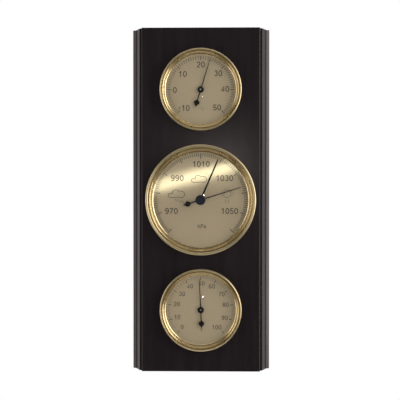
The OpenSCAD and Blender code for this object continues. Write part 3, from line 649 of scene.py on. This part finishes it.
# %% Pieces
def piece(name, instrument, *makers, crease=35):
    """One object at a dial's centre, from functions that each add a closed solid to its mesh."""
    shape = bmesh.new()
    for make in makers:
        make(shape)
    bmesh.ops.recalc_face_normals(shape, faces=shape.faces)
    mesh = bpy.data.meshes.new(name)
    shape.to_mesh(mesh)
    shape.free()
    rounded_at(mesh, crease)
    made = bpy.data.objects.new(name, mesh)
    made.location = (0, 0, heights[instrument] / 1000)
    return made


print("pieces stand at", list(heights.values()), "mm")

# %% [markdown]
# ## Bezels and inner rings
#
# A bezel is a spun brass ring: a round bead outside, a narrow V groove, then a straight slope
# down to the lip that holds the glass. The groove makes the dark line and the slope mirrors the
# lamp on the far side. These forms are a millimetre wide, and what they mirror decides how the
# bezel looks, so the bead and the slope are shaped a little more freely than in the solids.
# Behind the glass a bright ring stands on the dial, and its wall shows as a thin light line.

# %% Bezels and rings
# Width of the bezel, width of its lip and radius of the dome.
sizes = {"thermometer": (74, 4.2, 100), "barometer": (100, 5, 150)}
sizes["hygrometer"] = sizes["thermometer"]

# By the bezel's width: the bead's outer and inner flank and how far the inner one falls, radius
# of the brow over the slope, radius and degrees of the turn into it, and the lip's overhang.
bezel_forms = {74: (1.0, 0.35, 0.8, 35.2, 2.0, 42, 0), 100: (1.15, 1.15, 1.05, 46.7, 1.2, 50, 0.5)}
ring_reach = {74: 1.1, 100: 2.0}
# Each bezel's brass has a painted shade on its slope.
brass_names = {74: "small_bezel_brass", 100: "large_bezel_brass"}
edge = 0.3
slant = math.sqrt(0.5)


def bezel_section(across, lip):
    """The bead in an edge and a broad arc, the groove, the brow, the slope and the back."""
    rim, bore = across / 2, across / 2 - lip
    outer, inner, fall, brow, turn, lean, overhang = bezel_forms[across]
    bead_x, lip_x = rim - outer, bore - overhang
    broad = (outer - edge * (1 - slant)) / slant
    inner_top = crest - 0.5
    return [
        (rim - 1, face),
        *arc(rim - edge, face + edge, edge, edge, -90, 0, 4),
        *arc(rim - edge, crest - broad * (1 - slant) - edge * slant, edge, edge, 0, 45, 6),
        *arc(bead_x, crest - broad, broad, broad, 45, 90, 16)[1:],
        *arc(bead_x, crest - fall, inner, fall, 94, 175, 16),
        (bead_x - inner, crest - fall - 0.1), (brow + edge, crest - fall + 0.05),
        *arc(brow, inner_top - edge, edge, edge, 20, 90, 8),
        *arc(brow, inner_top - turn, turn, turn, 94, 90 + lean, 20),
        (lip_x + 0.1, seat + 0.25), (lip_x, seat + 0.1),
        (bore + 0.1, seat), (bore + 1.1, seat), (bore + 1.1, dial_back), (rim - 1, dial_back)]


def ring_section(bore, reach):
    """A foot that leans up to the bore, then the wall up to the glass."""
    step = print_z + 0.45
    return [
        (bore - reach, print_z), (bore - reach + 0.45, step), (bore + 0.1, step + 0.15 * reach),
        (bore + 0.15, glass_z), (bore + 0.75, glass_z), (bore + 0.9, glass_z - 0.15),
        (bore + 0.9, print_z)]


for instrument, (across, lip, _) in sizes.items():
    section = bezel_section(across, lip)
    bezel = piece(f"{instrument}_bezel_brass", instrument, lambda s: turned(s, section))
    settle(bezel, "board", brass_names[across], f"{instrument}_bezel", slot="polished_brass")
    section = ring_section(across / 2 - lip, ring_reach[across])
    ring = piece(f"{instrument}_bright_ring", instrument, lambda s: turned(s, section))
    settle(ring, "board", "polished_brass", f"{instrument}_ring")
    print(instrument, "bezel:", across, "mm across,", len(bezel.data.polygons), "faces")

# %% [markdown]
# ## Domed glasses
#
# A glass is a shallow dome with a flat rim that sits under the bezel's lip. Its two faces belong
# to spheres with one centre. The barometer's glass is drilled for the knob's bush.

# %% Glasses
glass_t = 1.2
bush_radius = 2.35


def dome_centre(across, lip, dome):
    """Radius of the dome's foot, and depth of the centre of its spheres."""
    foot = across / 2 - lip - 0.3
    return foot, seat - math.sqrt(dome ** 2 - foot ** 2)


def glass_section(across, lip, dome, hole):
    bore = across / 2 - lip
    foot, centre = dome_centre(across, lip, dome)

    def cap(radius, near_x, far_x):
        start, end = (math.degrees(math.acos(x / radius)) for x in (near_x, far_x))
        return arc(0, centre, radius, radius, start, end, 48)

    inside = dome - glass_t
    outer = cap(dome, foot, hole)
    inner = cap(inside, math.sqrt(inside ** 2 - (glass_z - centre) ** 2), hole)
    return [(bore + 0.85, glass_z), (bore + 1, glass_z + 0.15),
            (bore + 1, seat - 0.15), (bore + 0.85, seat), *outer, *reversed(inner)]


for instrument, size in sizes.items():
    section = glass_section(*size, hole=bush_radius if instrument == "barometer" else 0.0)
    glass = piece(f"{instrument}_domed_glass", instrument, lambda s: turned(s, section), crease=30)
    settle(glass, "board", "glass", f"{instrument}_glass")
    top = max(depth for _, depth in section)
    print(instrument, "glass stands", round(top, 2), "mm from the wall")

# %% [markdown]
# ## Hands
#
# A hand points at a reading, so the scales come first: which reading is at the top of each dial,
# and how far one unit turns the hand.

# %% Readings and angles
# The reading at the top of each dial, and the degrees that one unit of its scale takes.
top_reading = {"thermometer": 20, "barometer": 1010, "hygrometer": 50}
unit_turn = {"thermometer": 4.5, "barometer": 2.7, "hygrometer": 2.7}


def angle_of(instrument, reading):
    """Clockwise angle from the top at which a dial shows a reading."""
    return (reading - top_reading[instrument]) * unit_turn[instrument]


print("one degree Celsius turns the hand by", angle_of("thermometer", 21), "degrees")

# %% [markdown]
# A hand is stamped from thin steel: a long blade with a faint ridge, a narrow shank and a spade
# for balance. The spade is slightly crowned, which gives it a soft light in its middle.

# %% Blades and spades
hand_t = 0.4


def blade(start, end, root, tip, low, ridge=0.12):
    """Adds a tapered blade between two distances from the hub, from one width to another."""
    def make(shape):
        rows = []
        for share in (0, 0.5, 0.97, 1):
            y = start + (end - start) * share
            half = (root + (tip - root) * share) / 2 * (0.55 if share == 1 else 1)
            outline = [(-half, low), (-half, low + hand_t - ridge), (0, low + hand_t),
                       (half, low + hand_t - ridge), (half, low)]
            rows.append([shape.verts.new(facing(x, y, z)) for x, z in outline])
        for one, two in zip(rows, rows[1:]):
            for i in range(5):
                shape.faces.new([one[i], one[(i + 1) % 5], two[(i + 1) % 5], two[i]])
        shape.faces.new(rows[0])
        shape.faces.new(reversed(rows[-1]))
    return make


def crowned(outline, low, thick, crown):
    """Adds a plate with that outline, whose front swells gently towards its middle."""
    def make(shape):
        mid_x = sum(x for x, _ in outline) / len(outline)
        mid_y = sum(y for _, y in outline) / len(outline)

        def row(share, depth):
            drawn_in = [(mid_x + (x - mid_x) * share, mid_y + (y - mid_y) * share)
                        for x, y in outline]
            return [shape.verts.new(facing(x, y, depth)) for x, y in drawn_in]

        front = low + thick - crown
        rows = [row(1, low), row(1, front - 0.05), row(0.97, front),
                row(0.8, front + crown * 0.35), row(0.55, front + crown * 0.7),
                row(0.28, front + crown * 0.93)]
        count = len(outline)
        for one, two in zip(rows, rows[1:]):
            for i in range(count):
                shape.faces.new([one[i], one[(i + 1) % count], two[(i + 1) % count], two[i]])
        top = shape.verts.new(facing(mid_x, mid_y, low + thick))
        for i in range(count):
            shape.faces.new([rows[-1][i], rows[-1][(i + 1) % count], top])
        shape.faces.new(list(reversed(rows[0])))
    return make


print("blades are", hand_t, "mm thick")

# %% [markdown]
# The round hub has a boss that grips the arbor. Blade, shank, spade and hub are each a closed
# solid, and they overlap at the hub as the real sheet does.

# %% Hands
hand_z = 24.8
arbor_radius = 0.77


def hub_section(radius, hole, low):
    """Flat disc of the hub with its boss, round a hole for the arbor."""
    boss = radius * 0.62
    return [
        (hole, low - 0.5), (boss, low - 0.5), (boss, low), (radius, low), (radius, low + 0.32),
        (radius - 0.08, low + hand_t), (boss, low + hand_t), (boss, low + 0.8),
        (boss - 0.12, low + 0.9), (hole + 0.1, low + 0.9), (hole, low + 0.8)]


def pointed(hand, degrees):
    """Turns a hand's mesh from the top to that angle."""
    hand.data.transform(Matrix.Rotation(math.radians(degrees), 4, "Y"))


def tailed_hand(instrument, reading, length, hub, tail=16.4):
    """A hand with a spade tail, on its arbor, at a reading."""
    mid = 4 - tail
    spade = [*arc(0, mid, 2.5, 2.3, -20, 55, 12), (0.5, mid + 2.7), (-0.5, mid + 2.7),
             *arc(0, mid, 2.5, 2.3, 125, 200, 12),
             (-0.35, 0.9 - tail), (-0.3, -tail), (0.3, -tail), (0.35, 0.9 - tail)]
    hand = piece(f"{instrument}_black_hand", instrument,
                 blade(0.9, length, 1.0, 0.5, hand_z), blade(-0.9, mid + 2.0, 1.0, 1.0, hand_z),
                 crowned(spade, hand_z, 0.55, 0.2),
                 lambda s: turned(s, hub_section(hub, arbor_radius, hand_z), 96), crease=40)
    degrees = angle_of(instrument, reading)
    pointed(hand, degrees)
    settle(hand, f"{instrument}_hand", "black_lacquer", f"{instrument}_hand")
    print(hand.name, "points", round(degrees, 2), "degrees from the top")


tailed_hand("thermometer", 23.8, length=28.2, hub=2.9)
tailed_hand("barometer", 1036.9, length=38.2, hub=2.2)
tailed_hand("hygrometer", 49, length=28.2, hub=2.9)

# %% [markdown]
# ## Set hand and knob
#
# The bolder hand without a tail is set by the knob and marks the last reading. The knob is
# turned, with a round edge and a shallow dish on top, and its spindle passes through the glass.

# %% Set hand and knob
set_hand_z = 26.5
knob_radius, knob_t = 4.6, 4.4
spindle_radius = 1.5


def set_collar(shape):
    """Short tube by which the set hand grips the spindle."""
    bore = spindle_radius + 0.01
    turned(shape, [(bore, glass_z), (2.3, glass_z), (2.3, 27.3), (2.2, seat), (bore, seat)], 96)


set_hand = piece("set_black_hand", "barometer",
                 blade(1.9, 39.5, 1.6, 1.4, set_hand_z, ridge=0.15), set_collar, crease=40)
pointed(set_hand, angle_of("barometer", 1018.6))
settle(set_hand, "set_knob", "black_lacquer", "set_hand")

dome = sizes["barometer"][2]
knob_low = dome_centre(*sizes["barometer"])[1] + dome + 0.55
knob_high = knob_low + knob_t
knob_section = [
    (0, glass_z), (spindle_radius - 0.1, glass_z), (spindle_radius, glass_z + 0.1),
    (spindle_radius, knob_low), (knob_radius - 0.3, knob_low),
    *arc(knob_radius - 0.3, knob_low + 0.3, 0.3, 0.3, -90, 0, 6),
    *arc(knob_radius - 0.9, knob_high - 0.9, 0.9, 0.9, 0, 90, 16),
    *arc(2.95, knob_high - 0.1, 0.1, 0.1, 90, 150, 4),
    *arc(2.4, knob_high - 0.05, 0.3, 0.25, -30, -90, 5), (0, knob_high - 0.3)]
knob = piece("black_knob", "barometer", lambda s: turned(s, knob_section, 128), crease=45)
settle(knob, "set_knob", "black_plastic", "set_knob")
print("knob:", 2 * knob_radius, "mm across, top at", round(knob_high, 2), "mm")

# %% [markdown]
# ## Printed scales
#
# The scales are ink on metal. Ink has almost no thickness, but a flat decal would flicker
# against the dial, so each mark is a closed solid 0.02 mm proud: a slab for a mark of the scale,
# and a stroke for everything that a pen draws.

# %% Ink
ink_t = 0.02
ink_low, ink_high = print_z - ink_t, print_z + ink_t


def slab(shape, outline):
    """A flat mark with that outline, in millimetres on the dial."""
    back = [shape.verts.new(facing(x, y, ink_low)) for x, y in outline]
    front = [shape.verts.new(facing(x, y, ink_high)) for x, y in outline]
    shape.faces.new(front)
    shape.faces.new(list(reversed(back)))
    for i in range(len(outline)):
        j = (i + 1) % len(outline)
        shape.faces.new([back[i], back[j], front[j], front[i]])


def on_dial(degrees, radius, aside=0.0):
    """Point at that clockwise angle from the top and that distance from the middle."""
    a = math.radians(degrees)
    return (radius * math.sin(a) + aside * math.cos(a), radius * math.cos(a) - aside * math.sin(a))


def tick(shape, degrees, near, far, width):
    half = width / 2
    slab(shape, [on_dial(degrees, near, -half), on_dial(degrees, near, half),
                 on_dial(degrees, far, half), on_dial(degrees, far, -half)])


def stroke(shape, points, width, closed=False):
    """A drawn line of that width through the points, with sharp corners kept full."""
    count = len(points)
    rows = []
    for i, (x, y) in enumerate(points):
        here, following = Vector((x, y)), Vector(points[(i + 1) % count])
        before = (here - Vector(points[i - 1])).normalized() if i or closed else None
        after = (following - here).normalized() if i < count - 1 or closed else None
        along = ((before or after) + (after or before)).normalized()
        reach = width / 2 / max(0.6, along.dot(before or after))
        left = (x - along.y * reach, y + along.x * reach)
        right = (x + along.y * reach, y - along.x * reach)
        rows.append([shape.verts.new(facing(*side, depth)) for side, depth in (
            (left, ink_low), (left, ink_high), (right, ink_high), (right, ink_low))])
    for one, two in zip(rows, rows[1:] + rows[:1] if closed else rows[1:]):
        for i in range(4):
            shape.faces.new([one[i], one[(i + 1) % 4], two[(i + 1) % 4], two[i]])
    if not closed:
        shape.faces.new(rows[0])
        shape.faces.new(list(reversed(rows[-1])))


print("ink between", ink_low, "and", ink_high, "mm from the wall")

# %% [markdown]
# The numbers of such dials are plain even strokes, so each sign is drawn as one or two pen lines
# in a square of its own height. That keeps the round 0 and the straight 1 that a ready font
# would draw in another way.

# %% Signs
sign_width = 0.64
oval = arc(0.32, 0.5, 0.265, 0.445, 0, 345, 23)
six = [[*arc(0.36, 0.5, 0.29, 0.445, 48, 180, 9), (0.07, 0.3)],
       arc(0.325, 0.3, 0.255, 0.245, 0, 340, 17)]
signs = {
    "0": [oval],
    "1": [[(0.10, 0.75), (0.24, 0.79), (0.33, 0.88), (0.37, 1.0)], [(0.37, 1.0), (0.37, 0)]],
    "2": [[*arc(0.32, 0.69, 0.245, 0.255, 170, -35, 10), (0.24, 0.27), (0.08, 0.055),
           (0.60, 0.055)]],
    "3": [arc(0.31, 0.735, 0.21, 0.21, 160, -90, 10), arc(0.32, 0.29, 0.25, 0.235, 90, -160, 12)],
    "4": [[(0.45, 0), (0.45, 0.93), (0.05, 0.27), (0.62, 0.27)]],
    "5": [[(0.56, 0.945), (0.17, 0.945), (0.10, 0.49),
           *arc(0.31, 0.31, 0.265, 0.255, 125, -160, 12)]],
    "6": six,
    "7": [[(0.05, 0.945), (0.58, 0.945), (0.38, 0.6), (0.27, 0.3), (0.23, 0)]],
    "8": [arc(0.32, 0.735, 0.205, 0.21, 0, 340, 17), arc(0.32, 0.29, 0.255, 0.235, 0, 340, 17)],
    "9": [[(sign_width - x, 1 - y) for x, y in line] for line in six],
    "-": [[(0.1, 0.42), (0.5, 0.42)]],
    "h": [[(0.1, 1), (0.1, 0)], [(0.1, 0.3), *arc(0.3, 0.46, 0.2, 0.2, 180, 0, 8), (0.5, 0)]],
    "P": [[(0.1, 0), (0.1, 0.95), (0.34, 0.95), *arc(0.34, 0.71, 0.24, 0.24, 80, -80, 7),
           (0.34, 0.47), (0.1, 0.47)]],
    "a": [[*arc(0.27, 0.46, 0.2, 0.2, 160, 0, 7), (0.47, 0)],
          arc(0.26, 0.2, 0.19, 0.17, 0, 340, 13)],
    "C": [arc(0.36, 0.5, 0.29, 0.445, 48, 312, 16)],
    "°": [arc(0.32, 0.85, 0.13, 0.13, 0, 330, 11)],
    "%": [arc(0.14, 0.76, 0.12, 0.19, 0, 340, 11), arc(0.56, 0.24, 0.12, 0.19, 0, 340, 11),
          [(0.16, 0), (0.54, 1)]],
}


def lettering(shape, words, x, y, height, weight, step=0.774):
    """Plain sans numbers and units drawn with one pen, with their middle at (x, y).

    The pen's weight, a sign's width and the step to the next one are shares of the height."""
    left = x - height * (step * (len(words) - 1) + sign_width) / 2
    for i, sign in enumerate(words):
        for line in signs[sign]:
            placed = [(left + height * (step * i + u), y + height * (v - 0.5)) for u, v in line]
            gap = math.dist(line[0], line[-1])
            stroke(shape, placed, weight * height, closed=len(line) > 9 and gap < 0.16)


print(len(signs), "signs ready")

# %% [markdown]
# All three scales have the same build: a ring of marks with every tenth reading longer, and a
# few numbers within it. The numbers stand where they do in the photograph, so their places are
# a table and not a circle.

# %% Marks and numbers
def marks(shape, instrument, readings, far, long, short):
    """A mark for each reading. long and short say where one starts and how wide it is."""
    for reading in readings:
        near, width = short if reading % 10 else long
        tick(shape, angle_of(instrument, reading), near, far, width)


def numbers(shape, places, height, weight):
    """The number of each place, from a list of numbers and their middles."""
    for number, x, y in places:
        lettering(shape, str(number), x, y, height, weight)


print("marks and numbers ready")

# %% [markdown]
# ### The thermometer's scale
#
# It runs from -10 to 50 °C over 270 degrees, with a mark for each degree and 20 at the top.

# %% Thermometer scale
def thermometer_scale(shape):
    marks(shape, "thermometer", range(-10, 51), 30.2, long=(26.6, 0.62), short=(27.4, 0.45))
    places = ((0, -23.4, -0.3), (10, -16.3, 14.1), (20, 0, 22.6), (30, 15.7, 14.7),
              (40, 22, 0.6), (50, 14.7, -16.1), (10, -13.7, -16.6))
    numbers(shape, places, height=5.1, weight=0.145)
    lettering(shape, "-", -19, -16.2, height=5.1, weight=0.145)
    lettering(shape, "°C", 1.2, -17.4, height=2.4, weight=0.09)


ink = piece("thermometer_print", "thermometer", thermometer_scale)
settle(ink, "board", "ink", slot="black_lacquer")
print("thermometer scale:", len(ink.data.polygons), "faces")

# %% [markdown]
# ### The hygrometer's scale
#
# It runs from 0 to 100 %, with 50 at the top. Each ten has a number and a bold mark, and four
# fine short marks stand between two tens.

# %% Hygrometer scale
def hygrometer_scale(shape):
    marks(shape, "hygrometer", range(0, 101, 2), 29.8, long=(27, 0.62), short=(28.3, 0.3))
    places = ((0, -16.8, -15.5), (10, -21.3, -6.7), (20, -21.7, 5.2), (30, -17, 14.5),
              (40, -9.7, 21.4), (50, 0.8, 24), (60, 10.1, 21.3), (70, 18.9, 14.2),
              (80, 22.6, 4.7), (90, 21.7, -7.2), (100, 14.4, -15.8))
    numbers(shape, places, height=3.9, weight=0.135)
    lettering(shape, "%", 0.6, -18.2, height=2.4, weight=0.09)


ink = piece("hygrometer_print", "hygrometer", hygrometer_scale)
settle(ink, "board", "ink", slot="black_lacquer")
print("hygrometer scale:", len(ink.data.polygons), "faces")

# %% [markdown]
# ### The barometer's scale
#
# Between its numbers stand three small signs, drawn here in their simplest form: a rain cloud
# for low pressure, a cloud with the sun behind it, and a sun for high pressure.

# %% Weather signs
def cloud(shape, x, y, size, line):
    """Outline of a cloud: a flat foot, a low bump, a middle one and a large one."""
    bumps = [*arc(-4.9, -1.5, 2.6, 2.0, 265, 60, 10), *arc(-0.8, 0.8, 2.9, 2.8, 172, 35, 9),
             *arc(3.9, -0.6, 3.5, 3.1, 105, -75, 13), (1.5, -2.9), (-1.2, -3.4)]
    stroke(shape, [(x + size * u, y + size * v) for u, v in bumps], line, closed=True)


def rays(shape, x, y, near, far, angles, line):
    """Short strokes round a point, at clockwise angles from the top."""
    for angle in angles:
        a = math.radians(angle)
        stroke(shape, [(x + r * math.sin(a), y + r * math.cos(a)) for r in (near, far)], line)


def weather_signs(shape):
    cloud(shape, -22, 5.5, size=1, line=0.5)
    for i in range(4):
        rain = [(-23 + 2.1 * i, 1.2 - 0.5 * i), (-21.9 + 2.1 * i, -1.6 - 0.6 * i)]
        stroke(shape, rain, 0.36)
    cloud(shape, -1.6, 19, size=0.92, line=0.5)
    rays(shape, 2.6, 19.2, near=4.6, far=6.2, angles=range(-20, 110, 26), line=0.3)
    sun_x, sun_y, sun_radius = 23.8, 5.5, 3.5
    stroke(shape, arc(sun_x, sun_y, sun_radius, sun_radius, 0, 348, 29), 0.35, closed=True)
    rays(shape, sun_x, sun_y, near=4.5, far=5.9, angles=range(-112, 113, 28), line=0.3)
    for x in (22.7, 25.2):
        stroke(shape, [(x, 0.4), (x, -3)], 0.35)


print("weather signs ready")

# %% [markdown]
# The scale itself runs from 960 to 1060 hPa, with 1010 at the top, a mark for each and a longer
# one for each ten.

# %% Barometer scale
def barometer_scale(shape):
    marks(shape, "barometer", range(960, 1061), 42.3, long=(37.4, 0.75), short=(39.3, 0.55))
    places = ((970, -26.6, -10.1), (990, -21.3, 19.7), (1010, 0.3, 32.4), (1030, 21.5, 19.7),
              (1050, 26.1, -10.1))
    numbers(shape, places, height=5.2, weight=0.145)
    lettering(shape, "hPa", 1.1, -23.8, height=3.6, weight=0.13, step=0.74)


ink = piece("barometer_print", "barometer", barometer_scale, weather_signs)
settle(ink, "board", "ink", slot="black_lacquer")
print("barometer scale:", len(ink.data.polygons), "faces")
